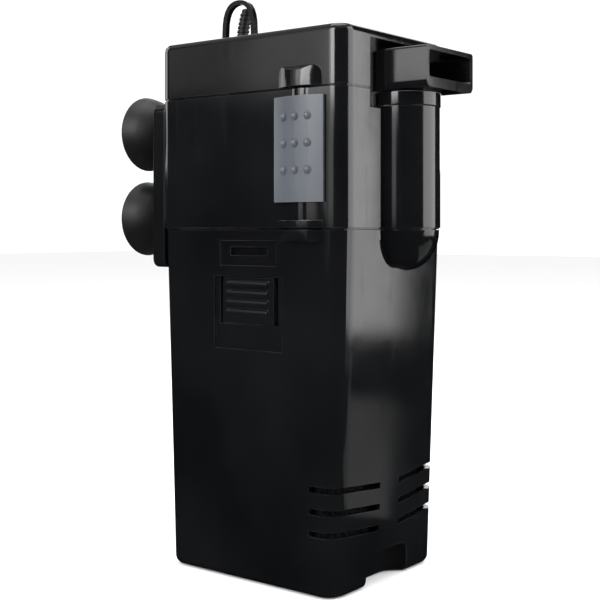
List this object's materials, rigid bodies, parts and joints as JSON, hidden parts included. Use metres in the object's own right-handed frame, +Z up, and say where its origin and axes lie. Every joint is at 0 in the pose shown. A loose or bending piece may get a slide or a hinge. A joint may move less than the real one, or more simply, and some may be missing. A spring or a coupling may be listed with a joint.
{
  "type": "submersible aquarium filter",
  "caption": "Rectangular black submersible aquarium filter: tapered media canister, lift-off pump head with side latches, swivelling flat outlet nozzle and suction-cup mount.",
  "frame": {"origin": "centre of the canister's flat base, midway between the casing's side faces and its front and back faces", "axes": "+Z up along the casing; the outlet nozzle faces -Y and the suction cups face +Y; X runs across the casing"},
  "size_m": [0.0948, 0.1636, 0.2766],
  "materials": {
    "black_abs": "semi-gloss injection-moulded ABS, near black",
    "grey_abs": "satin mid-grey ABS",
    "inner_plastic": "plain dark moulding, unpolished",
    "black_rubber": "soft black rubber",
    "coarse_foam": "open-cell coarse foam, charcoal",
    "fine_foam": "open-cell fine foam, pale blue-grey",
    "carbon": "carbon-loaded pad, black",
    "ceramic": "unglazed ceramic",
    "steel": "laminated steel",
    "screw_steel": "stainless steel",
    "copper": "enamelled copper winding",
    "ferrite": "sintered ferrite"
  },
  "bodies": {
    "canister": {"canister": "black_abs", "coarse_sponge": "coarse_foam", "fine_sponge": "fine_foam", "media_basket": "inner_plastic", "carbon_pad": "carbon", "ceramic_media": "ceramic", "basket_lid": "inner_plastic"},
    "pump_head": {"pump_housing": "black_abs", "top_cover": "black_abs", "head_gasket": "black_rubber", "nozzle_collar": "black_abs", "hanging_loop": "black_abs", "cord_gland": "black_rubber", "stator_core": "steel", "stator_coil": "copper", "impeller_cover": "black_abs", "rotor_shaft": "ceramic", "upper_shaft_bush": "black_rubber", "lower_shaft_bush": "black_rubber", "cover_screw_1": "screw_steel", "cover_screw_2": "screw_steel", "cover_screw_3": "screw_steel", "cover_screw_4": "screw_steel"},
    "rotor": {"rotor_magnet": "ferrite", "impeller": "grey_abs"},
    "outlet_nozzle": {"outlet_nozzle": "black_abs"},
    "left_latch": {"left_slide_latch": "grey_abs"},
    "right_latch": {"right_slide_latch": "grey_abs"},
    "left_tab": {"left_release_tab": "black_abs"},
    "right_tab": {"right_release_tab": "black_abs"},
    "suction_mount": {"mounting_plate": "black_abs", "suction_cup_1": "black_rubber", "suction_cup_2": "black_rubber", "suction_cup_3": "black_rubber", "suction_cup_4": "black_rubber"}
  },
  "joints": [
    {"name": "head_lift", "type": "slide", "parent": "canister", "child": "pump_head", "axis": [0, 0, 1], "range_m": [0, 0.09]},
    {"name": "rotor_spin", "type": "hinge", "parent": "pump_head", "child": "rotor", "pos_m": [0, 0.004, 0.19], "axis": [0, 0, 1], "continuous": true},
    {"name": "nozzle_swivel", "type": "hinge", "parent": "pump_head", "child": "outlet_nozzle", "pos_m": [0, -0.06, 0.222], "axis": [0, 0, 1], "range_deg": [-40, 40]},
    {"name": "left_latch_slide", "type": "slide", "parent": "pump_head", "child": "left_latch", "axis": [0, 0, -1], "range_m": [0, 0.006]},
    {"name": "right_latch_slide", "type": "slide", "parent": "pump_head", "child": "right_latch", "axis": [0, 0, -1], "range_m": [0, 0.006]},
    {"name": "left_tab_press", "type": "hinge", "parent": "canister", "child": "left_tab", "pos_m": [-0.0407, -0.0012, 0.118], "axis": [0, 1, 0], "range_deg": [0, 4], "stiffness_Nm_per_rad": 1},
    {"name": "right_tab_press", "type": "hinge", "parent": "canister", "child": "right_tab", "pos_m": [0.0407, -0.0012, 0.118], "axis": [0, -1, 0], "range_deg": [0, 4], "stiffness_Nm_per_rad": 1},
    {"name": "suction_mount_slide", "type": "slide", "parent": "pump_head", "child": "suction_mount", "axis": [0, 0, -1], "range_m": [0, 0.05]}
  ]
}
